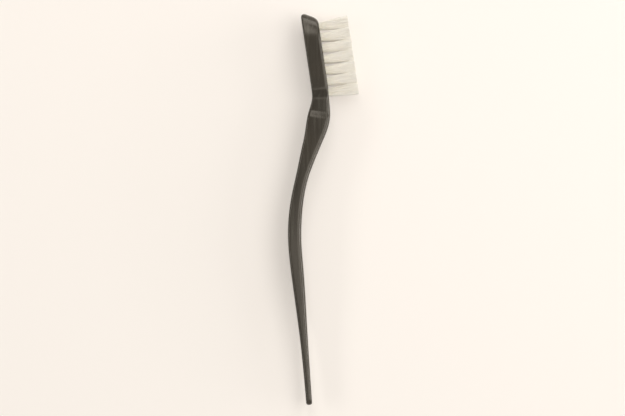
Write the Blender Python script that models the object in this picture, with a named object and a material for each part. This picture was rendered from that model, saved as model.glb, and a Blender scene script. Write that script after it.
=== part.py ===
# Juicer cleaning brush: a moulded S-curved handle with anchored nylon tufts.
# All lengths are metres. The brush lies on its side: +Y points to the head's tip, +X along the
# bristles and +Z up, across the head.
import math

import bmesh
import bpy
from mathutils import Matrix, Vector

# Whole brush
HANDLE_LENGTH = 0.181       # to the corner that the rounding of the tip takes off
SEAT_GAP = 0.0002           # clearance around the pieces that sit in the head
CUT_OVERRUN = 0.001

# Tufts: how many stand in each column, from the tip to the neck
TUFT_PATTERN = (2, 3, 3, 3, 3, 3, 2)
HOLE_DIAMETER = 0.0034
COLUMN_WALL = 0.00172       # plastic between two columns of holes
ROW_WALL = 0.0011           # plastic between two rows of holes
BRISTLE_LENGTH = 0.0135     # from the head's face to the trimmed ends
TUFT_SPREAD = 0.0047        # diameter of a tuft at its trimmed end
END_TUFT_SPREAD = 0.0049    # the first and last columns fan out further along the head
TUFT_SINK = 0.0003          # the tuft's root stays this far below the face
TUFT_COVER = 0.0015         # root above the anchor
TUFT_FOLD = 0.0007          # root below the anchor, where the filaments turn back
STRAND_ROOT_DIAMETER = 0.00038
STRAND_TIP_DIAMETER = 0.0003
STRAND_SINK = 0.0005        # how far a strand runs down into the root
STRANDS_PER_TUFT = 22
TIP_COLUMN_LEAN = math.radians(-0.6)
NECK_COLUMN_LEAN = math.radians(0.6)
OUTER_ROW_LEAN = math.radians(1.5)

# Anchors: flat metal pieces that hold the folded filaments down
ANCHOR_THICKNESS = 0.00035
ANCHOR_HEIGHT = 0.0016
ANCHOR_BITE = 0.00045       # how far each end reaches into the plastic
ANCHOR_TURN = math.radians(40.0)

# Head
HEAD_LEAN = math.radians(8.4)
HEAD_THICKNESS = 0.0076
HEAD_RIM = 0.0013           # plastic outside the outer rows
TIP_RIM = 0.0061            # from the tip's back corner to the first hole
NOSE_LENGTH = 0.0142
NOSE_SQUARENESS = 2.2       # exponent of the nose's outline, 2 is an ellipse
END_SLANT = math.radians(28.6)
END_BACK_RADIUS = 0.00165
END_FRONT_RADIUS = 0.0044
HEAD_BACK_RADIUS = 0.0008
HEAD_FRONT_RADIUS = 0.0013

# Neck and shoulder
NECK_LENGTH = 0.014         # from the head's flat sides to the shoulder
NECK_RIM = 0.00155          # plastic outside the two tufts of the last column
SHOULDER_THICKNESS = 0.0104
SHOULDER_WIDTH = 0.013

# Grip and tail
THUMB_THICKNESS = 0.0056
GRIP_THICKNESS = 0.0061
GRIP_BACK_RADIUS = 0.0013
GRIP_FRONT_RADIUS = 0.0020
TAIL_THICKNESS = 0.0032
TAIL_WIDTH = 0.0068
TIP_THICKNESS = 0.00275
TIP_WIDTH = 0.0058
TIP_ROUND = 0.0028          # length over which the tail's tip is rounded in plan
TIP_EDGE_RADIUS = 0.0011

# Slopes of the centre line, in degrees towards the bristles
NECK_SLOPE = -5.7
UPPER_SLOPE = -17.6
THUMB_SLOPE = -15.2
BELLY_SLOPE = -2.0
LOWER_SLOPE = 5.9
TIP_SLOPE = 4.4

# Places along the grip, as shares of its run from the shoulder to the tail's tip
upper_share = 0.087
thumb_bend_share = 0.182
thumb_share = 0.223
belly_share = 0.372
lower_share = 0.473
lower_bend_share = 0.507
tail_share = 0.837
# Places along the neck, as shares of its length
waist_start_share = 0.3
neck_bend_share = 0.618
waist_end_share = 0.726
shoulder_top_share = 0.94
# Thickness at two places between named ones, as shares of the difference or of the size
upper_thickness_share = 0.538
lower_thickness_share = 0.983
# A fillet takes at most this much of the thickness
fillet_limit_share = 0.47

# Worked out from the sizes above
COLUMN_PITCH = HOLE_DIAMETER + COLUMN_WALL
ROW_PITCH = HOLE_DIAMETER + ROW_WALL
ROWS = max(TUFT_PATTERN)
COLUMNS = len(TUFT_PATTERN)
HEAD_WIDTH = (ROWS - 1) * ROW_PITCH + HOLE_DIAMETER + 2 * HEAD_RIM
FIRST_COLUMN = TIP_RIM + HOLE_DIAMETER / 2
LAST_COLUMN = FIRST_COLUMN + (COLUMNS - 1) * COLUMN_PITCH
NECK_WIDTH = (TUFT_PATTERN[-1] - 1) * ROW_PITCH + HOLE_DIAMETER + 2 * NECK_RIM
GRIP_WIDTH = HEAD_WIDTH     # so that the brush lies level on its side
HEAD_END = (LAST_COLUMN - COLUMN_PITCH / 2) * math.cos(HEAD_LEAN)
SHOULDER = HEAD_END + NECK_LENGTH
GRIP_RUN = HANDLE_LENGTH - SHOULDER
ANCHOR_LENGTH = HOLE_DIAMETER + 2 * ANCHOR_BITE
WINDOW_HEIGHT = ANCHOR_HEIGHT + 2 * SEAT_GAP
WINDOW_WIDTH = ANCHOR_THICKNESS + 2 * SEAT_GAP
HOLE_DEPTH = SEAT_GAP + TUFT_FOLD + WINDOW_HEIGHT + TUFT_COVER + TUFT_SINK
ANCHOR_DEPTH = TUFT_SINK + TUFT_COVER + WINDOW_HEIGHT / 2   # the anchor's middle, below the face
ROOT_DIAMETER = HOLE_DIAMETER - 2 * SEAT_GAP

# Fineness of the facets
NOSE_RINGS = 14
FILLET_STEPS = 4
HOLE_SIDES = 16
CENTRE_LINE_STEPS = 720


def clear_scene():
    for item in list(bpy.data.objects):
        bpy.data.objects.remove(item, do_unlink=True)


def material(name, colour, roughness, metallic):
    made = bpy.data.materials.new(name)
    made.use_nodes = True
    surface = made.node_tree.nodes["Principled BSDF"]
    surface.inputs["Base Color"].default_value = (*colour, 1)
    surface.inputs["Roughness"].default_value = roughness
    surface.inputs["Metallic"].default_value = metallic
    made.diffuse_color = (*colour, 1)
    return made


def add_object(name, mesh, parent, surface=None):
    made = bpy.data.objects.new(name, mesh)
    bpy.context.scene.collection.objects.link(made)
    made.parent = parent
    if surface:
        mesh.materials.append(surface)
    return made


def mesh_from(shape, name):
    mesh = bpy.data.meshes.new(name)
    shape.to_mesh(mesh)
    shape.free()
    return mesh


def add_tool(name, mesh, parent):
    tool = add_object(name, mesh, parent)
    tool.hide_render = True
    tool.display_type = "WIRE"
    return tool


def add_boolean(body, tool, operation):
    change = body.modifiers.new(tool.name, "BOOLEAN")
    change.operation = operation
    change.solver = "EXACT"
    change.object = tool
    return change


def apply_boolean(body, tool, operation):
    # The result becomes the body's own mesh and the tool goes.
    add_boolean(body, tool, operation)
    bpy.context.view_layer.update()
    evaluated = body.evaluated_get(bpy.context.evaluated_depsgraph_get())
    result = bpy.data.meshes.new_from_object(evaluated)
    body.modifiers.clear()
    body.data = result
    bpy.data.objects.remove(tool, do_unlink=True)


def monotone_curve(stations):
    # A smooth curve through (place, value) stations, level at its highest and lowest ones.
    places = [place for place, value in stations]
    values = [value for place, value in stations]
    gaps = [after - before for before, after in zip(places, places[1:])]
    slopes = [(values[i + 1] - values[i]) / gaps[i] for i in range(len(gaps))]
    tangents = [0.0] * len(stations)
    for i in range(1, len(gaps)):
        if slopes[i - 1] * slopes[i] > 0:
            before = 2 * gaps[i] + gaps[i - 1]
            after = gaps[i] + 2 * gaps[i - 1]
            tangents[i] = (before + after) / (before / slopes[i - 1] + after / slopes[i])

    def value_at(place):
        i = 0
        while i < len(gaps) - 1 and place > places[i + 1]:
            i += 1
        t = min(max((place - places[i]) / gaps[i], 0), 1)
        start = (1 + 2 * t) * (1 - t) ** 2 * values[i] + t * (1 - t) ** 2 * gaps[i] * tangents[i]
        end = t * t * (3 - 2 * t) * values[i + 1] - t * t * (1 - t) * gaps[i] * tangents[i + 1]
        return start + end

    return value_at


def grip_place(share):
    return SHOULDER + share * GRIP_RUN


def neck_place(share):
    return HEAD_END + share * NECK_LENGTH


# Places are measured down the brush, along Y, from the tip of the head.
slope_at = monotone_curve([
    (0, math.degrees(HEAD_LEAN)),
    (HEAD_END - COLUMN_PITCH / 2, math.degrees(HEAD_LEAN)),
    (neck_place(neck_bend_share), NECK_SLOPE),
    (grip_place(upper_share), UPPER_SLOPE),
    (grip_place(thumb_bend_share), THUMB_SLOPE),
    (grip_place(belly_share), BELLY_SLOPE),
    (grip_place(lower_bend_share), LOWER_SLOPE),
    (HANDLE_LENGTH, TIP_SLOPE),
])
thickness_at = monotone_curve([
    (0, HEAD_THICKNESS),
    (HEAD_END + COLUMN_PITCH / 2, HEAD_THICKNESS),
    (SHOULDER, SHOULDER_THICKNESS),
    (grip_place(upper_share),
     THUMB_THICKNESS + upper_thickness_share * (SHOULDER_THICKNESS - THUMB_THICKNESS)),
    (grip_place(thumb_share), THUMB_THICKNESS),
    (grip_place(belly_share), GRIP_THICKNESS),
    (grip_place(lower_share), GRIP_THICKNESS * lower_thickness_share),
    (grip_place(tail_share), TAIL_THICKNESS),
    (HANDLE_LENGTH, TIP_THICKNESS),
])
width_at = monotone_curve([
    (0, HEAD_WIDTH),
    (HEAD_END, HEAD_WIDTH),
    (neck_place(waist_start_share), NECK_WIDTH),
    (neck_place(waist_end_share), NECK_WIDTH),
    (neck_place(shoulder_top_share), SHOULDER_WIDTH),
    (grip_place(belly_share), GRIP_WIDTH),
    (grip_place(tail_share), TAIL_WIDTH),
    (HANDLE_LENGTH, TIP_WIDTH),
])
back_radius_at = monotone_curve([
    (0, HEAD_BACK_RADIUS),
    (HEAD_END, HEAD_BACK_RADIUS),
    (SHOULDER, GRIP_BACK_RADIUS),
    (HANDLE_LENGTH, GRIP_BACK_RADIUS),
])
front_radius_at = monotone_curve([
    (0, HEAD_FRONT_RADIUS),
    (HEAD_END, HEAD_FRONT_RADIUS),
    (SHOULDER, GRIP_FRONT_RADIUS),
    (HANDLE_LENGTH, GRIP_FRONT_RADIUS),
])


def head_point(down, out):
    # A point of the side view, from the tip's back corner: down the head and out to the face.
    return Vector((
        down * math.sin(HEAD_LEAN) + out * math.cos(HEAD_LEAN),
        -down * math.cos(HEAD_LEAN) + out * math.sin(HEAD_LEAN),
    ))


def centre_line():
    # Adds up the slopes from the head's middle down to the tail's tip.
    start = head_point(0, HEAD_THICKNESS / 2)
    step = (HANDLE_LENGTH + start.y) / CENTRE_LINE_STEPS
    points = [start]
    for i in range(CENTRE_LINE_STEPS):
        place = -start.y + (i + 0.5) * step
        slope = math.radians(slope_at(place))
        points.append(points[-1] + Vector((math.tan(slope), -1)) * step)
    return points, step


def fillet_inset(distance, radius):
    # How far a rounded edge draws in at this distance from its end.
    if distance >= radius:
        return 0.0
    return radius - math.sqrt(radius ** 2 - (radius - distance) ** 2)


def ring(back, front, half_width, back_radius, front_radius):
    # A rounded rectangle across the handle, from its back point to its front point.
    out = (front - back).normalized()
    middle = (front + back) / 2
    half_depth = (front - back).length / 2
    corners = ((1, 1, front_radius), (-1, 1, back_radius),
               (-1, -1, back_radius), (1, -1, front_radius))
    points = []
    for quarter, (out_side, across_side, radius) in enumerate(corners):
        fitted = min(radius, 2 * half_depth * fillet_limit_share, half_width * 2 * fillet_limit_share)
        for i in range(FILLET_STEPS + 1):
            turn = math.pi / 2 * (quarter + i / FILLET_STEPS)
            reach = out_side * (half_depth - fitted) + fitted * math.cos(turn)
            across = across_side * (half_width - fitted) + fitted * math.sin(turn)
            flat = middle + out * reach
            points.append(Vector((flat.x, flat.y, across)))
    return points


def rounding_meets(down, slant, middle, radius, side):
    # Where the line down + slant * out meets a rounding: at its back side (-1) or front side (1).
    square = 1 + slant ** 2
    half = slant * (down - middle.x) - middle.y
    rest = (down - middle.x) ** 2 + middle.y ** 2 - radius ** 2
    return (side * math.sqrt(max(half ** 2 - square * rest, 0)) - half) / square


def nose_rings():
    # The nose is a superellipse in plan. Its end slants back from the face, with two round corners.
    slant_run = HEAD_THICKNESS * math.tan(END_SLANT)
    lean, rise = math.sin(END_SLANT), math.cos(END_SLANT)
    front_middle_out = HEAD_THICKNESS - END_FRONT_RADIUS
    back_middle = Vector((END_BACK_RADIUS * (1 + lean) / rise, END_BACK_RADIUS))
    front_middle = Vector(((END_FRONT_RADIUS + front_middle_out * lean) / rise, front_middle_out))
    power = 2 / NOSE_SQUARENESS
    rings = []
    for i in range(NOSE_RINGS):
        turn = math.pi / 2 * (i + 0.5) / (NOSE_RINGS - 0.5)
        along_share = 1 - math.cos(turn) ** power
        half_width = HEAD_WIDTH / 2 * math.sin(turn) ** power
        back_down = along_share * NOSE_LENGTH
        front_down = slant_run + along_share * (NOSE_LENGTH - slant_run)
        slant = (front_down - back_down) / HEAD_THICKNESS
        back_out, front_out = 0, HEAD_THICKNESS
        if back_down < back_middle.x:
            back_out = rounding_meets(back_down, slant, back_middle, END_BACK_RADIUS, -1)
        if front_down < front_middle.x:
            front_out = rounding_meets(back_down, slant, front_middle, END_FRONT_RADIUS, 1)
        back = head_point(back_down + slant * back_out, back_out)
        front = head_point(back_down + slant * front_out, front_out)
        rings.append(ring(back, front, half_width, HEAD_BACK_RADIUS, HEAD_FRONT_RADIUS))
    return rings


def body_places():
    # Rings stand close together at the neck, where the outline turns most.
    runs = (
        (NOSE_LENGTH * math.cos(HEAD_LEAN), HEAD_END, 3),
        (HEAD_END, neck_place(waist_start_share), 5),
        (neck_place(waist_start_share), neck_place(waist_end_share), 3),
        (neck_place(waist_end_share), SHOULDER, 5),
        (SHOULDER, grip_place(upper_share), 5),
        (grip_place(upper_share), grip_place(belly_share), 9),
        (grip_place(belly_share), grip_place(lower_bend_share), 5),
        (grip_place(lower_bend_share), HANDLE_LENGTH - TIP_ROUND, 7),
    )
    return [start + (end - start) * i / count for start, end, count in runs for i in range(count)]


def tip_places():
    steps = 6
    return [HANDLE_LENGTH - TIP_ROUND * (1 - math.sin(math.pi / 2 * i / steps)) for i in range(steps)]


def body_ring(place, points, step):
    start = points[0]
    position = (place + start.y) / step
    index = min(int(position), len(points) - 2)
    middle = points[index].lerp(points[index + 1], position - index)
    slope = math.radians(slope_at(place))
    out = Vector((math.cos(slope), math.sin(slope)))
    left = HANDLE_LENGTH - place
    thickness = thickness_at(place) - 2 * fillet_inset(left, TIP_EDGE_RADIUS)
    half_width = width_at(place) / 2
    if left < TIP_ROUND:
        half_width *= math.sqrt(1 - (1 - left / TIP_ROUND) ** 2)
    return ring(middle - out * thickness / 2, middle + out * thickness / 2, half_width,
                back_radius_at(place), front_radius_at(place))


def loft(rings):
    shape = bmesh.new()
    loops = [[shape.verts.new(point) for point in points] for points in rings]
    for before, after in zip(loops, loops[1:]):
        for i in range(len(before)):
            j = (i + 1) % len(before)
            shape.faces.new((before[i], before[j], after[j], after[i]))
    shape.faces.new(list(reversed(loops[0])))
    shape.faces.new(loops[-1])
    bmesh.ops.recalc_face_normals(shape, faces=shape.faces)
    return shape


def tuft_places():
    # Column, row, distance down the head and distance across it.
    for column, count in enumerate(TUFT_PATTERN):
        for row in range(count):
            across = (row - (count - 1) / 2) * ROW_PITCH
            yield column, row, FIRST_COLUMN + column * COLUMN_PITCH, across


def hole_tool_mesh():
    shape = bmesh.new()
    length = HOLE_DEPTH + CUT_OVERRUN
    for column, row, down, across in tuft_places():
        middle = Vector((down, across, HEAD_THICKNESS - HOLE_DEPTH + length / 2))
        bmesh.ops.create_cone(shape, cap_ends=True, segments=HOLE_SIDES, radius1=HOLE_DIAMETER / 2,
                              radius2=HOLE_DIAMETER / 2, depth=length,
                              matrix=Matrix.Translation(middle))
    return mesh_from(shape, "tuft_holes")


def plate(shape, middle, length, width, height):
    # A box on the anchor's slanted line.
    place = Matrix.Translation(middle) @ Matrix.Rotation(ANCHOR_TURN, 4, "Z")
    size = Matrix.Diagonal((length, width, height, 1))
    bmesh.ops.create_cube(shape, size=1, matrix=place @ size)


def pocket_tool_mesh():
    shape = bmesh.new()
    for column, row, down, across in tuft_places():
        middle = Vector((down, across, HEAD_THICKNESS - ANCHOR_DEPTH))
        plate(shape, middle, ANCHOR_LENGTH + 2 * SEAT_GAP, WINDOW_WIDTH, WINDOW_HEIGHT)
    return mesh_from(shape, "anchor_pockets")


def build_handle(frame, head, plastic):
    points, step = centre_line()
    rings = nose_rings()
    rings += [body_ring(place, points, step) for place in body_places()[1:] + tip_places()]
    mesh = mesh_from(loft(rings), "handle")
    mesh.shade_smooth()
    mesh.set_sharp_from_angle(angle=math.radians(35))
    handle = add_object("handle", mesh, frame, plastic)
    add_boolean(handle, add_tool("tuft_holes", hole_tool_mesh(), head), "DIFFERENCE")
    add_boolean(handle, add_tool("anchor_pockets", pocket_tool_mesh(), head), "DIFFERENCE")
    return handle


def strand_places(column, row, count):
    # A sunflower pattern: root and end of each strand, measured from the hole's mouth.
    root_circle = (ROOT_DIAMETER - STRAND_ROOT_DIAMETER) / 2 - SEAT_GAP / 2
    end_circle = (TUFT_SPREAD - STRAND_TIP_DIAMETER) / 2
    end_column = column in (0, COLUMNS - 1)
    end_length = ((END_TUFT_SPREAD if end_column else TUFT_SPREAD) - STRAND_TIP_DIAMETER) / 2
    lean_down = TIP_COLUMN_LEAN + (NECK_COLUMN_LEAN - TIP_COLUMN_LEAN) * column / (COLUMNS - 1)
    lean_across = OUTER_ROW_LEAN * (row - (count - 1) / 2)
    golden_turn = math.pi * (3 - math.sqrt(5))
    shift = Vector((math.tan(lean_down), math.tan(lean_across))) * BRISTLE_LENGTH
    for i in range(STRANDS_PER_TUFT):
        radius = math.sqrt((i + 0.5) / STRANDS_PER_TUFT)
        turn = i * golden_turn + column + 2 * row
        spoke = Vector((math.cos(turn), math.sin(turn))) * radius
        end = Vector((spoke.x * end_length, spoke.y * end_circle))
        yield spoke * root_circle, end + shift


def strands_mesh(column, row, count):
    # Each strand is a sheared three-sided cone, so that all end on one trimmed plane.
    shape = bmesh.new()
    bottom = -TUFT_SINK - STRAND_SINK
    length = BRISTLE_LENGTH - bottom
    for root, end in strand_places(column, row, count):
        middle = (root + end) / 2
        run = (end - root) / length
        shear = Matrix.Identity(4)
        shear[0][2] = run.x
        shear[1][2] = run.y
        place = Matrix.Translation((middle.x, middle.y, bottom + length / 2))
        bmesh.ops.create_cone(shape, cap_ends=True, segments=3, radius1=STRAND_ROOT_DIAMETER / 2,
                              radius2=STRAND_TIP_DIAMETER / 2, depth=length, matrix=place @ shear)
    return mesh_from(shape, "strands")


def root_mesh():
    # The packed filaments below the face, as one plug.
    top = -TUFT_SINK
    bottom = -HOLE_DEPTH + SEAT_GAP
    shape = bmesh.new()
    bmesh.ops.create_cone(shape, cap_ends=True, segments=HOLE_SIDES, radius1=ROOT_DIAMETER / 2,
                          radius2=ROOT_DIAMETER / 2, depth=top - bottom,
                          matrix=Matrix.Translation((0, 0, (top + bottom) / 2)))
    return mesh_from(shape, "tuft")


def window_mesh():
    shape = bmesh.new()
    plate(shape, Vector((0, 0, -ANCHOR_DEPTH)), HOLE_DIAMETER, WINDOW_WIDTH, WINDOW_HEIGHT)
    return mesh_from(shape, "window")


def build_tuft(column, row, down, across, head, nylon):
    place = Vector((down, across, HEAD_THICKNESS))
    tuft = add_object(f"tuft_{column + 1}_{row + 1}", root_mesh(), head, nylon)
    tuft.location = place
    window = add_tool("window", window_mesh(), head)
    window.location = place
    apply_boolean(tuft, window, "DIFFERENCE")
    strands = add_tool("strands", strands_mesh(column, row, TUFT_PATTERN[column]), head)
    strands.location = place
    apply_boolean(tuft, strands, "UNION")


def build_anchor(column, row, down, across, head, metal):
    shape = bmesh.new()
    plate(shape, Vector((0, 0, 0)), ANCHOR_LENGTH, ANCHOR_THICKNESS, ANCHOR_HEIGHT)
    mesh = mesh_from(shape, "anchor")
    anchor = add_object(f"anchor_{column + 1}_{row + 1}", mesh, head, metal)
    anchor.location = (down, across, HEAD_THICKNESS - ANCHOR_DEPTH)


def stand_on_origin(frame):
    # The middle of the brush's box goes over the origin, and its lower side to z = 0.
    bpy.context.view_layer.update()
    graph = bpy.context.evaluated_depsgraph_get()
    corners = []
    for item in bpy.data.objects:
        if item.type == "MESH" and not item.hide_render:
            solid = item.evaluated_get(graph)
            corners += [item.matrix_world @ vertex.co for vertex in solid.data.vertices]
    low = [min(corner[axis] for corner in corners) for axis in range(3)]
    high = [max(corner[axis] for corner in corners) for axis in range(3)]
    frame.location -= Vector(((low[0] + high[0]) / 2, (low[1] + high[1]) / 2, low[2]))


def build():
    clear_scene()
    plastic = material("black_polypropylene", (0.035, 0.032, 0.028), 0.38, 0.0)
    nylon = material("natural_nylon", (0.78, 0.75, 0.66), 0.45, 0.0)
    metal = material("anchor_metal", (0.62, 0.60, 0.55), 0.35, 1.0)
    frame = add_object("brush_frame", None, None)
    head = add_object("head_frame", None, frame)
    # Down the head, across it and out to the face become local X, Y and Z.
    down = head_point(1, 0).to_3d()
    out = head_point(0, 1).to_3d()
    head.rotation_euler = Matrix((down, out.cross(down), out)).transposed().to_euler()
    build_handle(frame, head, plastic)
    for column, row, along, across in tuft_places():
        build_tuft(column, row, along, across, head, nylon)
        build_anchor(column, row, along, across, head, metal)
    stand_on_origin(frame)


build()
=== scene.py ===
import math
import random

import bmesh
import bpy
from mathutils import Matrix, Vector


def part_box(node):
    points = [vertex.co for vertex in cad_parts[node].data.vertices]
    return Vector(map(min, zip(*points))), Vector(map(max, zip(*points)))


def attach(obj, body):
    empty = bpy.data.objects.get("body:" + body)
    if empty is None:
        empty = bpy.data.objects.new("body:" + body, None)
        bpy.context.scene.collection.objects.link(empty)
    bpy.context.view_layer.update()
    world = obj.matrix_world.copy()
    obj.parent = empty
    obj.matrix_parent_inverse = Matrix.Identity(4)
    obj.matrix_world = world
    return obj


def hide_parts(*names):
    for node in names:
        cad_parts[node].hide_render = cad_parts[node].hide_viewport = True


# Juicer cleaning brush: a black moulded handle with nineteen tufts of natural nylon, lying on its
# side. Shapes are worked in millimetres, and brought to metres when a piece is finished.
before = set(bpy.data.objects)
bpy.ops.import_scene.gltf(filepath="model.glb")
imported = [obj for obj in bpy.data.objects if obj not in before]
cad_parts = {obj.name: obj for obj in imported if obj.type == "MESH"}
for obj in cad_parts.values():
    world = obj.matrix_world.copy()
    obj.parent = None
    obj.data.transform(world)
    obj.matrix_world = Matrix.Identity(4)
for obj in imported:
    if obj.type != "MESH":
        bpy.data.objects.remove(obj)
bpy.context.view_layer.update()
toMetres = 0.001


def linearColour(hexColour):
    # An sRGB hex colour as the linear RGBA that a socket wants
    parts = [int(hexColour[i:i + 2], 16) / 255 for i in (1, 3, 5)]
    return tuple(p / 12.92 if p <= 0.04045 else ((p + 0.055) / 1.055) ** 2.4 for p in parts) + (1,)


def scaleFor(millimetres):
    # Texture scale that gives features of this size on Object coordinates
    return 1 / (millimetres * toMetres)


def addNode(tree, kind, settings=None, links=None):
    # Adds a node, sets its sockets or properties, and links sockets into it
    node = tree.nodes.new(kind)
    for key, value in (settings or {}).items():
        if isinstance(key, int) or key in node.inputs:
            node.inputs[key].default_value = value
        else:
            setattr(node, key, value)
    for key, socket in (links or {}).items():
        tree.links.new(socket, node.inputs[key])
    return node


def newMaterial(name):
    material = bpy.data.materials.new(name)
    material.use_nodes = True
    tree = material.node_tree
    tree.nodes.clear()
    return material, tree


def colourRamp(tree, source, stops):
    # Colours between positions, as (position, hex colour)
    ramp = addNode(tree, "ShaderNodeValToRGB", links={"Fac": source})
    first, last = ramp.color_ramp.elements
    first.position, first.color = stops[0][0], linearColour(stops[0][1])
    last.position, last.color = stops[-1][0], linearColour(stops[-1][1])
    for position, colour in stops[1:-1]:
        ramp.color_ramp.elements.new(position).color = linearColour(colour)
    return ramp


def finishPiece(bm, name, material):
    # Brings a millimetre mesh to metres and makes it an object at the origin
    bmesh.ops.scale(bm, vec=(toMetres,) * 3, verts=bm.verts)
    mesh = bpy.data.meshes.new(name)
    bm.to_mesh(mesh)
    bm.free()
    piece = bpy.data.objects.new(name, mesh)
    bpy.context.scene.collection.objects.link(piece)
    if material:
        mesh.materials.append(material)
    return piece


def bakeModifiers(piece):
    # The result of the modifiers becomes the piece's own mesh
    bpy.context.view_layer.update()
    graph = bpy.context.evaluated_depsgraph_get()
    finished = bpy.data.meshes.new_from_object(piece.evaluated_get(graph))
    piece.modifiers.clear()
    piece.data = finished


def smoothCurve(stations):
    # A curve through (place, value) stations that is level at its highest and lowest ones
    places = [place for place, value in stations]
    values = [value for place, value in stations]
    gaps = [after - before for before, after in zip(places, places[1:])]
    slopes = [(values[i + 1] - values[i]) / gaps[i] for i in range(len(gaps))]
    tangents = [0.0] * len(stations)
    for i in range(1, len(gaps)):
        if slopes[i - 1] * slopes[i] > 0:
            before = 2 * gaps[i] + gaps[i - 1]
            after = gaps[i] + 2 * gaps[i - 1]
            tangents[i] = (before + after) / (before / slopes[i - 1] + after / slopes[i])

    def valueAt(place):
        i = 0
        while i < len(gaps) - 1 and place > places[i + 1]:
            i += 1
        t = min(max((place - places[i]) / gaps[i], 0), 1)
        start = (1 + 2 * t) * (1 - t) ** 2 * values[i] + t * (1 - t) ** 2 * gaps[i] * tangents[i]
        end = t * t * (3 - 2 * t) * values[i + 1] - t * t * (1 - t) * gaps[i] * tangents[i + 1]
        return start + end

    return valueAt


def makePolypropylene():
    # Injection-moulded black polypropylene: a dark warm body under a satin skin, with faint flow
    # streaks along the handle.
    # Paler lines in its colour are partly the fine rubbing that a used tool picks up and partly painted
    # sheen
    material, tree = newMaterial("blackPolypropyleneMoulded")
    place = addNode(tree, "ShaderNodeTexCoord").outputs["Object"]
    cloud = addNode(tree, "ShaderNodeTexNoise", {"Scale": scaleFor(18), "Detail": 3}, {"Vector": place})
    clouded = colourRamp(tree, cloud.outputs["Fac"], [(0.3, "#13100a"), (0.7, "#1e1911")])
    # Streaks, rub marks and painted sheen lines are long along the handle (Y) and narrow across it
    drawnOut = addNode(tree, "ShaderNodeMapping", {"Scale": (1, 0.06, 1)}, {"Vector": place})
    streaks = addNode(tree, "ShaderNodeTexNoise", {"Scale": scaleFor(0.9), "Detail": 3},
                      {"Vector": drawnOut.outputs["Vector"]})
    # Paler lines in the colour: rub marks, and painted sheen streaks that stand in for the satin skin's
    # uneven reflection. Real rub marks are finer, and these are drawn broad so that they show
    rubAndSheenLines = addNode(tree, "ShaderNodeTexNoise", {"Scale": scaleFor(1.6), "Detail": 3},
                   {"Vector": drawnOut.outputs["Vector"]})
    rubAndSheenColour = colourRamp(tree, rubAndSheenLines.outputs["Fac"],
                        [(0.4, "#000000"), (0.55, "#0d0d0b"), (0.7, "#292824")])
    # The body colour carries the painted sheen lines along with the rub marks
    body = addNode(tree, "ShaderNodeVectorMath", {"operation": "ADD"},
                   {0: clouded.outputs["Color"], 1: rubAndSheenColour.outputs["Color"]})
    gloss = addNode(tree, "ShaderNodeMapRange",
                    {"From Min": 0.3, "From Max": 0.7, "To Min": 0.17, "To Max": 0.28},
                    {"Value": streaks.outputs["Fac"]})
    # The moulded grain is really 0.05 mm across, and is drawn coarser so that it shows
    grain = addNode(tree, "ShaderNodeTexNoise", {"Scale": scaleFor(0.4), "Detail": 2},
                    {"Vector": place})
    grainBump = addNode(tree, "ShaderNodeBump", {"Strength": 0.25, "Distance": 0.00002},
                        {"Height": grain.outputs["Fac"]})
    streakBump = addNode(tree, "ShaderNodeBump", {"Strength": 0.5, "Distance": 0.00006},
                         {"Height": streaks.outputs["Fac"], "Normal": grainBump.outputs["Normal"]})
    surface = addNode(tree, "ShaderNodeBsdfPrincipled",
                      {"IOR": 1.49, "Specular Tint": linearColour("#fff5e6")},
                      {"Base Color": body.outputs["Vector"], "Roughness": gloss.outputs["Result"],
                       "Normal": streakBump.outputs["Normal"]})
    addNode(tree, "ShaderNodeOutputMaterial", links={"Surface": surface.outputs["BSDF"]})
    return material


def makeNylon():
    # Extruded natural nylon filament: milky. Its colour is a touch warmer at the root, painted shade
    # where the filaments are packed, and slightly darker at the trimmed end.
    # Each filament has its own tone
    material, tree = newMaterial("naturalNylonFilament")
    along = addNode(tree, "ShaderNodeAttribute", {"attribute_name": "alongFilament"})
    tone = addNode(tree, "ShaderNodeAttribute", {"attribute_name": "filamentTone"})
    # Painted shade: warmer at the root, where the filaments pack together; slightly darker at the
    # trimmed end
    length = colourRamp(tree, along.outputs["Fac"],
                        [(0.0, "#e0d9c8"), (0.45, "#e0d9cc"), (1.0, "#dcd6ca")])
    shift = addNode(tree, "ShaderNodeMapRange", {"To Min": 0.93, "To Max": 1.0},
                    {"Value": tone.outputs["Fac"]})
    colour = addNode(tree, "ShaderNodeVectorMath", {"operation": "SCALE"},
                     {"Vector": length.outputs["Color"], "Scale": shift.outputs["Result"]})
    surface = addNode(tree, "ShaderNodeBsdfPrincipled",
                      {"Roughness": 0.35, "IOR": 1.53, "Subsurface Weight": 1.0,
                       "Subsurface Radius": (1.0, 0.95, 0.85), "Subsurface Scale": 0.0008},
                      {"Base Color": colour.outputs["Vector"]})
    # A filament takes only a little of the light that goes on to the next one
    passedShare = 0.96
    clear = addNode(tree, "ShaderNodeBsdfTransparent")
    path = addNode(tree, "ShaderNodeLightPath")
    passed = addNode(tree, "ShaderNodeMath", {"operation": "MULTIPLY", 1: passedShare},
                     {0: path.outputs["Is Shadow Ray"]})
    mixed = addNode(tree, "ShaderNodeMixShader",
                    links={0: passed.outputs[0], 1: surface.outputs["BSDF"], 2: clear.outputs["BSDF"]})
    addNode(tree, "ShaderNodeOutputMaterial", links={"Surface": mixed.outputs["Shader"]})
    return material


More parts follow.
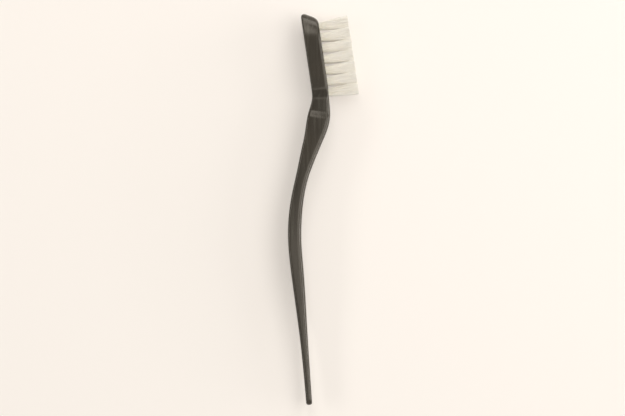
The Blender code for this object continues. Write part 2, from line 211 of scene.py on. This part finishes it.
def makeAnchorMetal():
    # Rolled nickel silver strip, cropped to length: a dull warm metal with fine rolling lines
    material, tree = newMaterial("nickelSilverRolled")
    place = addNode(tree, "ShaderNodeTexCoord").outputs["Object"]
    stretched = addNode(tree, "ShaderNodeMapping", {"Scale": (0.1, 0.1, 1)}, {"Vector": place})
    lines = addNode(tree, "ShaderNodeTexNoise", {"Scale": scaleFor(0.1), "Detail": 2},
                    {"Vector": stretched.outputs["Vector"]})
    colour = colourRamp(tree, lines.outputs["Fac"], [(0.3, "#b3a98f"), (0.7, "#d2c9b0")])
    dull = addNode(tree, "ShaderNodeMapRange", {"To Min": 0.25, "To Max": 0.45},
                   {"Value": lines.outputs["Fac"]})
    surface = addNode(tree, "ShaderNodeBsdfPrincipled", {"Metallic": 1.0},
                      {"Base Color": colour.outputs["Color"], "Roughness": dull.outputs["Result"]})
    addNode(tree, "ShaderNodeOutputMaterial", links={"Surface": surface.outputs["BSDF"]})
    return material


def makeMat():
    # Matt coated card: plain and pale, it takes only the brush's soft shadow
    material, tree = newMaterial("paleCoatedCard")
    cardColour = linearColour("#fef6ed")
    card = addNode(tree, "ShaderNodeBsdfPrincipled",
                   {"Base Color": cardColour, "Roughness": 0.9, "Specular IOR Level": 0.1})
    # To the camera part of the card shows at its own colour, so that the shadow stays light
    plainShare = 0.35
    plain = addNode(tree, "ShaderNodeEmission", {"Color": cardColour, "Strength": 1.0})
    path = addNode(tree, "ShaderNodeLightPath")
    part = addNode(tree, "ShaderNodeMath", {"operation": "MULTIPLY", 1: plainShare},
                   {0: path.outputs["Is Camera Ray"]})
    surface = addNode(tree, "ShaderNodeMixShader",
                      links={0: part.outputs[0], 1: card.outputs["BSDF"], 2: plain.outputs["Emission"]})
    addNode(tree, "ShaderNodeOutputMaterial", links={"Surface": surface.outputs["Shader"]})
    return material


polypropylene = makePolypropylene()
nylon = makeNylon()
anchorMetal = makeAnchorMetal()
matCard = makeMat()
print("materials made")

handle = {
    "length": 181.0,            # to the corner that the rounding of the tail's tip takes off
    "headLean": 8.4,            # degrees, towards the bristles
    "headThickness": 7.6,
    "headWidth": 15.0,
    "noseLength": 14.2,
    "noseSquareness": 2.2,      # 2 is an ellipse
    "endSlant": 28.6,           # degrees that the nose's end leans back from the face
    "endBackRadius": 1.65,
    "endFrontRadius": 4.4,
    "headBackRadius": 0.8,
    "headFrontRadius": 1.3,
    "neckLength": 14.0,
    "neckWidth": 11.0,
    "shoulderThickness": 10.4,
    "shoulderWidth": 13.0,
    "thumbThickness": 5.6,
    "gripThickness": 6.1,
    "gripWidth": 15.0,
    "gripBackRadius": 1.3,
    "gripFrontRadius": 2.0,
    "tailThickness": 3.2,
    "tailWidth": 6.8,
    "tipThickness": 2.75,
    "tipWidth": 5.8,
    "tipRound": 2.8,            # length over which the tail's tip is rounded
    "tipEdgeRadius": 1.1,
    # Slopes of the centre line, in degrees towards the bristles
    "neckSlope": -5.7,
    "upperSlope": -17.6,
    "thumbSlope": -15.2,
    "bellySlope": -2.0,
    "lowerSlope": 5.9,
    "tipSlope": 4.4,
    # Places along the neck, as shares of its length
    "waistStartShare": 0.3,
    "neckBendShare": 0.618,
    "waistEndShare": 0.726,
    "shoulderTopShare": 0.94,
    # Places along the grip, as shares of its run from the shoulder to the tail's tip
    "upperShare": 0.087,
    "thumbBendShare": 0.182,
    "thumbShare": 0.223,
    "bellyShare": 0.372,
    "lowerShare": 0.473,
    "lowerBendShare": 0.507,
    "tailShare": 0.837,
    # Thickness at two places between named ones, as shares of the difference or of the size
    "upperThicknessShare": 0.538,
    "lowerThicknessShare": 0.983,
    "filletLimitShare": 0.47,   # a fillet takes at most this much of a section's shorter side
    # Fineness of the mesh
    "filletSteps": 8,
    "noseRings": 30,
    "ringSpacing": 0.9,
    "tipSteps": 12,
    "centreLineSteps": 1440,
    "sharpAngle": 32.0,         # degrees between faces from which an edge shows as sharp
}
tufts = {
    "pattern": (2, 3, 3, 3, 3, 3, 2),   # tufts in each column, from the tip to the neck
    "holeDiameter": 3.4,
    "holeDepth": 4.7,
    "holeSides": 40,
    "mouthBevel": 0.14,
    "cutOverrun": 1.0,
    "columnPitch": 5.12,
    "rowPitch": 4.5,
    "firstColumn": 7.8,         # from the tip's back corner
    "length": 13.5,             # from the head's face to the trimmed ends
    "filaments": 150,
    "filamentDiameter": 0.23,
    "filamentSides": 5,
    "sharpAngle": 75.0,         # above the angle between a filament's sides
    "mouthGap": 0.04,           # between the outermost filaments and the hole's wall
    "footShare": 0.93,          # filaments draw in this far towards the hole's middle
    "anchorGap": 0.02,          # between the filaments and their anchor
    "footReach": 0.1,           # how far the filaments run past the anchor's edges
    "pathShares": (0.12, 0.35, 0.65, 1.0),  # points of a filament, as shares of its length
    "spread": 4.9,              # across a tuft at its trimmed end
    "endSpread": 5.0,           # the first and last columns fan out further along the head
    "flare": 0.35,              # how early a tuft opens, 0 is a plain cone
    "leanFirst": -0.6,          # degrees down the head, for the first column and for the last
    "leanLast": 0.6,
    "leanRow": 1.5,             # degrees across the head, for each row off the middle
    # Spread of the random draws
    "waviness": 0.12,
    "trimError": 0.12,
    "tipScatter": 0.12,
    "strayShare": 0.07,
}
anchors = {
    "length": 4.3,
    "thickness": 0.35,
    "height": 1.6,
    "turn": 40.0,
    "depth": 2.8,               # middle of the anchor below the head's face
    "clearance": 0.2,
}

lean = math.radians(handle["headLean"])
downHead = Vector((math.sin(lean), -math.cos(lean), 0))
outHead = Vector((math.cos(lean), math.sin(lean), 0))
columns = len(tufts["pattern"])
lastColumn = tufts["firstColumn"] + (columns - 1) * tufts["columnPitch"]
headEnd = (lastColumn - tufts["columnPitch"] / 2) * math.cos(lean)
shoulder = headEnd + handle["neckLength"]
gripRun = handle["length"] - shoulder


def rowsOffMiddle(row, count):
    # Rows between this one and the middle of its column, counted towards the floor
    return row - (count - 1) / 2


def tuftPlaces():
    # Column, row, distance down the head and distance across it
    for column, count in enumerate(tufts["pattern"]):
        down = tufts["firstColumn"] + column * tufts["columnPitch"]
        for row in range(count):
            yield column, row, down, rowsOffMiddle(row, count) * tufts["rowPitch"]


# The tip's back corner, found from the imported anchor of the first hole
anchorLow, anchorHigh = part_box("anchor_1_1")
firstAnchor = (Vector(anchorLow) + Vector(anchorHigh)) / 2 / toMetres
tipCorner = firstAnchor - downHead * tufts["firstColumn"]
tipCorner -= outHead * (handle["headThickness"] - anchors["depth"])
tipCorner.z += rowsOffMiddle(0, tufts["pattern"][0]) * tufts["rowPitch"]
print("tip corner (mm)", [round(v, 4) for v in tipCorner])
# Local X runs down the head, Y across it and Z out to the bristles, with the face at 0
acrossHead = outHead.cross(downHead)
headTurn = Matrix((downHead, acrossHead, outHead)).transposed().to_4x4()
headFrame = Matrix.Translation(tipCorner + outHead * handle["headThickness"]) @ headTurn


# Places are measured down the brush, along Y, from the tip of the head
def neckPlace(name):
    return headEnd + handle[name + "Share"] * handle["neckLength"]


def gripPlace(name):
    return shoulder + handle[name + "Share"] * gripRun


upperExtra = handle["upperThicknessShare"] * (handle["shoulderThickness"] - handle["thumbThickness"])
slopeAt = smoothCurve([
    (0, handle["headLean"]),
    (headEnd - tufts["columnPitch"] / 2, handle["headLean"]),
    (neckPlace("neckBend"), handle["neckSlope"]),
    (gripPlace("upper"), handle["upperSlope"]),
    (gripPlace("thumbBend"), handle["thumbSlope"]),
    (gripPlace("belly"), handle["bellySlope"]),
    (gripPlace("lowerBend"), handle["lowerSlope"]),
    (handle["length"], handle["tipSlope"]),
])
thicknessAt = smoothCurve([
    (0, handle["headThickness"]),
    (headEnd + tufts["columnPitch"] / 2, handle["headThickness"]),
    (shoulder, handle["shoulderThickness"]),
    (gripPlace("upper"), handle["thumbThickness"] + upperExtra),
    (gripPlace("thumb"), handle["thumbThickness"]),
    (gripPlace("belly"), handle["gripThickness"]),
    (gripPlace("lower"), handle["gripThickness"] * handle["lowerThicknessShare"]),
    (gripPlace("tail"), handle["tailThickness"]),
    (handle["length"], handle["tipThickness"]),
])
widthAt = smoothCurve([
    (0, handle["headWidth"]),
    (headEnd, handle["headWidth"]),
    (neckPlace("waistStart"), handle["neckWidth"]),
    (neckPlace("waistEnd"), handle["neckWidth"]),
    (neckPlace("shoulderTop"), handle["shoulderWidth"]),
    (gripPlace("belly"), handle["gripWidth"]),
    (gripPlace("tail"), handle["tailWidth"]),
    (handle["length"], handle["tipWidth"]),
])
backRadiusAt = smoothCurve([
    (0, handle["headBackRadius"]),
    (headEnd, handle["headBackRadius"]),
    (shoulder, handle["gripBackRadius"]),
    (handle["length"], handle["gripBackRadius"]),
])
frontRadiusAt = smoothCurve([
    (0, handle["headFrontRadius"]),
    (headEnd, handle["headFrontRadius"]),
    (shoulder, handle["gripFrontRadius"]),
    (handle["length"], handle["gripFrontRadius"]),
])


def headPoint(down, out):
    # A point of the side view, from the tip's back corner: down the head and out to the face
    return downHead * down + outHead * out


def filletInset(distance, radius):
    # How far a rounded edge draws in at this distance from its end
    if distance >= radius:
        return 0.0
    return radius - math.sqrt(radius ** 2 - (radius - distance) ** 2)


def addSection(bm, back, front, halfWidth, backRadius, frontRadius):
    # A rounded rectangle across the handle: a grid of one face with its corners beveled
    out = (front - back).normalized()
    depth = (front - back).length
    middle = (back + front) / 2
    upward = Vector((0, 0, 1))
    turn = Matrix((out, upward, out.cross(upward))).transposed().to_4x4()
    size = Matrix.Diagonal((depth, 2 * halfWidth, 1, 1))
    corners = bmesh.ops.create_grid(bm, x_segments=1, y_segments=1, size=0.5,
                                    matrix=Matrix.Translation(middle) @ turn @ size)["verts"]
    limit = handle["filletLimitShare"] * min(depth, 2 * halfWidth)
    sides = [([v for v in corners if side * (v.co - middle).dot(out) > 0], radius)
             for side, radius in ((-1, backRadius), (1, frontRadius))]
    for chosen, radius in sides:
        rounded = bmesh.ops.bevel(bm, geom=chosen, offset=min(radius, limit), offset_type="OFFSET",
                                  segments=handle["filletSteps"], profile=0.5, affect="VERTICES",
                                  material=-1, clamp_overlap=False)["verts"]
    return rounded[0].link_faces[0]


def roundingMeets(down, slant, middle, radius, side):
    # Where the line down + slant * out meets a rounding, at its back side (-1) or front side (1)
    square = 1 + slant ** 2
    half = slant * (down - middle.x) - middle.y
    rest = (down - middle.x) ** 2 + middle.y ** 2 - radius ** 2
    return (side * math.sqrt(max(half ** 2 - square * rest, 0)) - half) / square


def noseSections():
    # The nose is a superellipse in plan. Its end slants back from the face, with two round corners
    thickness, endSlant = handle["headThickness"], math.radians(handle["endSlant"])
    backRadius, frontRadius = handle["endBackRadius"], handle["endFrontRadius"]
    slantRun = thickness * math.tan(endSlant)
    sine, cosine = math.sin(endSlant), math.cos(endSlant)
    frontMiddleOut = thickness - frontRadius
    backMiddle = Vector((backRadius * (1 + sine) / cosine, backRadius))
    frontMiddle = Vector(((frontRadius + frontMiddleOut * sine) / cosine, frontMiddleOut))
    power = 2 / handle["noseSquareness"]
    count = handle["noseRings"]
    for i in range(count):
        turn = math.pi / 2 * (i + 0.5) / (count - 0.5)
        share = 1 - math.cos(turn) ** power
        halfWidth = handle["headWidth"] / 2 * math.sin(turn) ** power
        backDown = share * handle["noseLength"]
        frontDown = slantRun + share * (handle["noseLength"] - slantRun)
        slant = (frontDown - backDown) / thickness
        backOut, frontOut = 0, thickness
        if backDown < backMiddle.x:
            backOut = roundingMeets(backDown, slant, backMiddle, backRadius, -1)
        if frontDown < frontMiddle.x:
            frontOut = roundingMeets(backDown, slant, frontMiddle, frontRadius, 1)
        back = headPoint(backDown + slant * backOut, backOut)
        front = headPoint(backDown + slant * frontOut, frontOut)
        yield back, front, halfWidth, handle["headBackRadius"], handle["headFrontRadius"]


def centreLine():
    # Adds up the slopes from the head's middle down to the tail's tip
    steps = handle["centreLineSteps"]
    start = headPoint(0, handle["headThickness"] / 2)
    step = (handle["length"] + start.y) / steps
    points = [start]
    for i in range(steps):
        slope = math.radians(slopeAt(-start.y + (i + 0.5) * step))
        points.append(points[-1] + Vector((math.tan(slope), -1, 0)) * step)
    return points, step


def bodySections():
    # Evenly spaced down to the tail's tip, and closer together where the tip is rounded
    points, step = centreLine()
    length, tipRound, tipSteps = handle["length"], handle["tipRound"], handle["tipSteps"]
    first = handle["noseLength"] * math.cos(lean)
    last = length - tipRound
    count = round((last - first) / handle["ringSpacing"])
    places = [first + (last - first) * i / count for i in range(1, count)]
    places += [length - tipRound * (1 - math.sin(math.pi / 2 * i / tipSteps)) for i in range(tipSteps)]
    for place in places:
        position = (place + points[0].y) / step
        index = min(int(position), len(points) - 2)
        middle = points[index].lerp(points[index + 1], position - index)
        slope = math.radians(slopeAt(place))
        out = Vector((math.cos(slope), math.sin(slope), 0))
        left = length - place
        thickness = thicknessAt(place) - 2 * filletInset(left, handle["tipEdgeRadius"])
        half = out * thickness / 2
        halfWidth = widthAt(place) / 2
        if left < tipRound:
            halfWidth *= math.sqrt(1 - (1 - left / tipRound) ** 2)
        yield middle - half, middle + half, halfWidth, backRadiusAt(place), frontRadiusAt(place)


def makeHoleCutter():
    # Round holes with a slightly broken edge at the mouth
    bm = bmesh.new()
    radius, depth, bevel = tufts["holeDiameter"] / 2, tufts["holeDepth"], tufts["mouthBevel"]
    # Rise and growth: up the wall, out through the broken edge past the face, and on above it
    lifts = ((depth - bevel, 1), (2 * bevel, (radius + 2 * bevel) / radius), (tufts["cutOverrun"], 1))
    for column, row, down, across in tuftPlaces():
        bottomPlace = headFrame @ Matrix.Translation((down, across, -depth))
        bottom = bmesh.ops.create_circle(bm, cap_ends=True, segments=tufts["holeSides"],
                                         radius=radius, matrix=bottomPlace)["verts"]
        face = bottom[0].link_faces[0]
        for rise, growth in lifts:
            grown = bmesh.ops.extrude_face_region(bm, geom=[face])["geom"]
            rim = [g for g in grown if isinstance(g, bmesh.types.BMVert)]
            face = next(g for g in grown if isinstance(g, bmesh.types.BMFace))
            bmesh.ops.translate(bm, vec=outHead * rise, verts=rim)
            toMiddle = Matrix.Translation(-face.calc_center_median())
            bmesh.ops.scale(bm, vec=(growth,) * 3, space=toMiddle, verts=rim)
    bmesh.ops.recalc_face_normals(bm, faces=bm.faces)
    return finishPiece(bm, "holeCutter", None)


def makePocketCutter():
    # The slots on both sides of a hole that take the anchor's ends
    bm = bmesh.new()
    gap = 2 * anchors["clearance"]
    length, thickness, height = (anchors[name] + gap for name in ("length", "thickness", "height"))
    turn = Matrix.Rotation(math.radians(anchors["turn"]), 4, "Z")
    size = Matrix.Diagonal((length, thickness, height, 1))
    for column, row, down, across in tuftPlaces():
        place = headFrame @ Matrix.Translation((down, across, -anchors["depth"])) @ turn
        bmesh.ops.create_cube(bm, size=1, matrix=place @ size)
    return finishPiece(bm, "pocketCutter", None)


def makeHandle():
    bm = bmesh.new()
    rings = [addSection(bm, *section) for section in list(noseSections()) + list(bodySections())]
    loops = [list(face.edges) for face in rings]
    bmesh.ops.delete(bm, geom=rings[1:-1], context="FACES_ONLY")
    for before, after in zip(loops, loops[1:]):
        bmesh.ops.bridge_loops(bm, edges=before + after)
    bmesh.ops.translate(bm, vec=tipCorner, verts=bm.verts)
    bmesh.ops.recalc_face_normals(bm, faces=bm.faces)
    piece = finishPiece(bm, "mouldedHandle", polypropylene)
    for cutter in (makeHoleCutter(), makePocketCutter()):
        cut = piece.modifiers.new(cutter.name, "BOOLEAN")
        cut.operation, cut.solver, cut.object = "DIFFERENCE", "EXACT", cutter
        bakeModifiers(piece)
        bpy.data.objects.remove(cutter, do_unlink=True)
    piece.data.shade_smooth()
    piece.data.set_sharp_from_angle(angle=math.radians(handle["sharpAngle"]))
    return piece


handlePiece = makeHandle()
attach(handlePiece, "root")
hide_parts("handle")
print("handle made:", len(handlePiece.data.polygons), "faces")


def filamentPath(column, row, count, index, draw):
    # Points of one filament, from beside the anchor to the trimmed end, from the hole's mouth
    radius = math.sqrt((index + 0.5) / tufts["filaments"])
    turn = index * math.pi * (3 - math.sqrt(5)) + column + 2 * row
    spoke = Vector((math.cos(turn), math.sin(turn), 0)) * radius
    thick = tufts["filamentDiameter"]
    mouth = tufts["holeDiameter"] / 2 - thick / 2 - tufts["mouthGap"]
    end = (tufts["spread"] - thick) / 2
    endColumn = column in (0, columns - 1)
    endAlong = tufts["endSpread" if endColumn else "spread"] / 2 - thick / 2
    leanRange = tufts["leanLast"] - tufts["leanFirst"]
    leanDown = math.radians(tufts["leanFirst"] + leanRange * column / (columns - 1))
    leanAcross = math.radians(tufts["leanRow"] * rowsOffMiddle(row, count))
    height = tufts["length"] + draw.gauss(0, tufts["trimError"])
    shift = Vector((math.tan(leanDown), math.tan(leanAcross), 0)) * height
    stray = draw.gauss(1, tufts["strayShare"])
    tip = Vector((spoke.x * endAlong, spoke.y * end, 0)) * stray + shift
    tip += Vector((draw.gauss(0, tufts["tipScatter"]), draw.gauss(0, tufts["tipScatter"]), 0))
    root = spoke * mouth
    bend = Vector((draw.gauss(0, tufts["waviness"]), draw.gauss(0, tufts["waviness"]), 0))
    # The lowest filaments rest on the floor
    room = tipCorner.z - rowsOffMiddle(row, count) * tufts["rowPitch"] - thick / 2
    # In the hole the filament stands to one side of the anchor
    anchorTurn = math.radians(anchors["turn"])
    side = Vector((-math.sin(anchorTurn), math.cos(anchorTurn), 0))
    push = 1 if root.dot(side) > 0 else -1
    foot = root * tufts["footShare"]
    clear = anchors["thickness"] / 2 + thick / 2 + tufts["anchorGap"]
    if foot.dot(side) * push < clear:
        foot += side * (push * clear - foot.dot(side))
    reach = anchors["height"] / 2 + tufts["footReach"]
    points = [foot + Vector((0, 0, -anchors["depth"] - reach)),
              foot + Vector((0, 0, -anchors["depth"] + reach)),
              root]
    for share in tufts["pathShares"]:
        # The filaments flare just outside the hole, then run nearly straight
        flare = tufts["flare"] * share * (1 - share) * (2 - share)
        spot = root.lerp(tip, share) + (tip - shift - root) * flare + bend * math.sin(math.pi * share)
        spot.y = min(spot.y, room)
        spot.z = height * share
        points.append(spot)
    return points


def growFilament(strand, path, tone):
    # One filament, extruded point by point; it is grown alone because that is much quicker
    bm = bmesh.new()
    alongLayer = bm.verts.layers.float.new("alongFilament")
    toneLayer = bm.verts.layers.float.new("filamentTone")
    ring = bmesh.ops.create_circle(bm, cap_ends=True, segments=tufts["filamentSides"],
                                   radius=tufts["filamentDiameter"] / 2,
                                   matrix=Matrix.Translation(path[0]))["verts"]
    face = ring[0].link_faces[0]
    for before, after in zip(path, path[1:]):
        grown = bmesh.ops.extrude_face_region(bm, geom=[face])["geom"]
        ring = [g for g in grown if isinstance(g, bmesh.types.BMVert)]
        face = next(g for g in grown if isinstance(g, bmesh.types.BMFace))
        bmesh.ops.translate(bm, vec=after - before, verts=ring)
        for vert in ring:
            vert[alongLayer] = max(after.z, 0) / tufts["length"]
    for vert in bm.verts:
        vert[toneLayer] = tone
    bm.to_mesh(strand)
    bm.free()


def makeTuft(column, row, down, across):
    count = tufts["pattern"][column]
    draw = random.Random(100 * column + row)
    bm = bmesh.new()
    strand = bpy.data.meshes.new("strand")
    for index in range(tufts["filaments"]):
        growFilament(strand, filamentPath(column, row, count, index, draw), draw.random())
        bm.from_mesh(strand)
    bpy.data.meshes.remove(strand)
    bmesh.ops.recalc_face_normals(bm, faces=bm.faces)
    bmesh.ops.transform(bm, matrix=headFrame @ Matrix.Translation((down, across, 0)), verts=bm.verts)
    name = f"tuft_{column + 1}_{row + 1}"
    piece = finishPiece(bm, "filaments_" + name, nylon)
    piece.data.shade_smooth()
    piece.data.set_sharp_from_angle(angle=math.radians(tufts["sharpAngle"]))
    # Milky filaments hand the light on to each other, so the tufts stay pale inside: only the
    # row by the floor casts their shadow
    piece.visible_shadow = row == count - 1
    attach(piece, "root")
    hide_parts(name)
    return piece


for column, row, down, across in tuftPlaces():
    tuft = makeTuft(column, row, down, across)
print("tufts made:", len(tuft.data.polygons), "faces in the last")

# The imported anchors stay, with their metal
for name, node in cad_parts.items():
    if name.startswith("anchor_"):
        node.data.materials.clear()
        node.data.materials.append(anchorMetal)
print("anchors given their metal")

# In metres, but for the camera, which is placed in millimetres like the brush
studio = {
    "floorSize": 4.0,
    # name, place, the point it faces, width, height and power; only the tail lamp stands where
    # the handle's level top mirrors it to the camera
    "lamps": (("keyLamp", (0.7, 0.06, 1.15), (0, 0.03, 0), 0.9, 0.8, 5.7),
              ("lowRightLamp", (1.15, -0.02, 0.38), (0, 0, 0), 1.0, 0.45, 4.3),
              ("rimLamp", (1.0, -0.03, 0.12), (0, 0, 0.01), 1.1, 0.2, 3.8),
              ("headLamp", (-0.13, 0.85, 1.0), (0, 0, 0), 0.5, 0.9, 3.9),
              ("cornerLamp", (0.6, 0.75, 1.0), (0, 0, 0), 0.4, 0.6, 1.6),
              ("lowHeadLamp", (0.4, 1.1, 0.4), (0, 0, 0), 0.8, 0.6, 4.4),
              ("tailLamp", (0.0, -0.22, 1.2), (0, -0.22, 0), 0.6, 0.42, 0.95),
              ("leftLamp", (-1.0, 0.03, 0.62), (0, 0, 0), 0.8, 0.25, 2.8)),
    "worldLight": 0.2,          # share of the room's brightness that lights the brush
    "cameraFromTip": (5.679, -90.209),  # from the tip's back corner to the camera, across the floor
    "cameraHeight": 1000.0,
    "lens": 124.0,
}


def makeFloor():
    bm = bmesh.new()
    bmesh.ops.create_grid(bm, x_segments=1, y_segments=1, size=studio["floorSize"] / toMetres / 2)
    floor = finishPiece(bm, "floor", matCard)


def addLamp(name, place, aim, width, height, power):
    lamp = bpy.data.lights.new(name, "AREA")
    lamp.shape = "RECTANGLE"
    lamp.size, lamp.size_y, lamp.energy = width, height, power
    holder = bpy.data.objects.new(name, lamp)
    bpy.context.scene.collection.objects.link(holder)
    holder.location = place
    holder.rotation_euler = (Vector(aim) - Vector(place)).to_track_quat("-Z", "Y").to_euler()


def makeWorld():
    # A pale room that lights softly and shows at full brightness behind and in reflections
    world = bpy.data.worlds.new("paleRoom")
    bpy.context.scene.world = world
    world.use_nodes = True
    tree = world.node_tree
    tree.nodes.clear()
    path = addNode(tree, "ShaderNodeLightPath")
    behind = addNode(tree, "ShaderNodeMath", {"operation": "ADD"},
                     {0: path.outputs["Is Camera Ray"], 1: path.outputs["Is Glossy Ray"]})
    seen = addNode(tree, "ShaderNodeMath", {"operation": "ADD", "use_clamp": True},
                   {0: behind.outputs[0], 1: path.outputs["Is Transmission Ray"]})
    strength = addNode(tree, "ShaderNodeMapRange", {"To Min": studio["worldLight"], "To Max": 1.0},
                       {"Value": seen.outputs[0]})
    light = addNode(tree, "ShaderNodeBackground", {"Color": linearColour("#fffaf3")},
                    {"Strength": strength.outputs["Result"]})
    addNode(tree, "ShaderNodeOutputWorld", links={"Surface": light.outputs["Background"]})


makeFloor()
for lamp in studio["lamps"]:
    addLamp(*lamp)
makeWorld()

lensData = bpy.data.cameras.new("camera")
lensData.lens = studio["lens"]
camera = bpy.data.objects.new("camera", lensData)
bpy.context.scene.collection.objects.link(camera)
acrossFloor, alongFloor = studio["cameraFromTip"]
cameraPlace = Vector((tipCorner.x + acrossFloor, tipCorner.y + alongFloor, studio["cameraHeight"]))
camera.location = cameraPlace * toMetres
bpy.context.scene.camera = camera
bpy.context.scene.view_settings.view_transform = "Standard"
print("studio set")
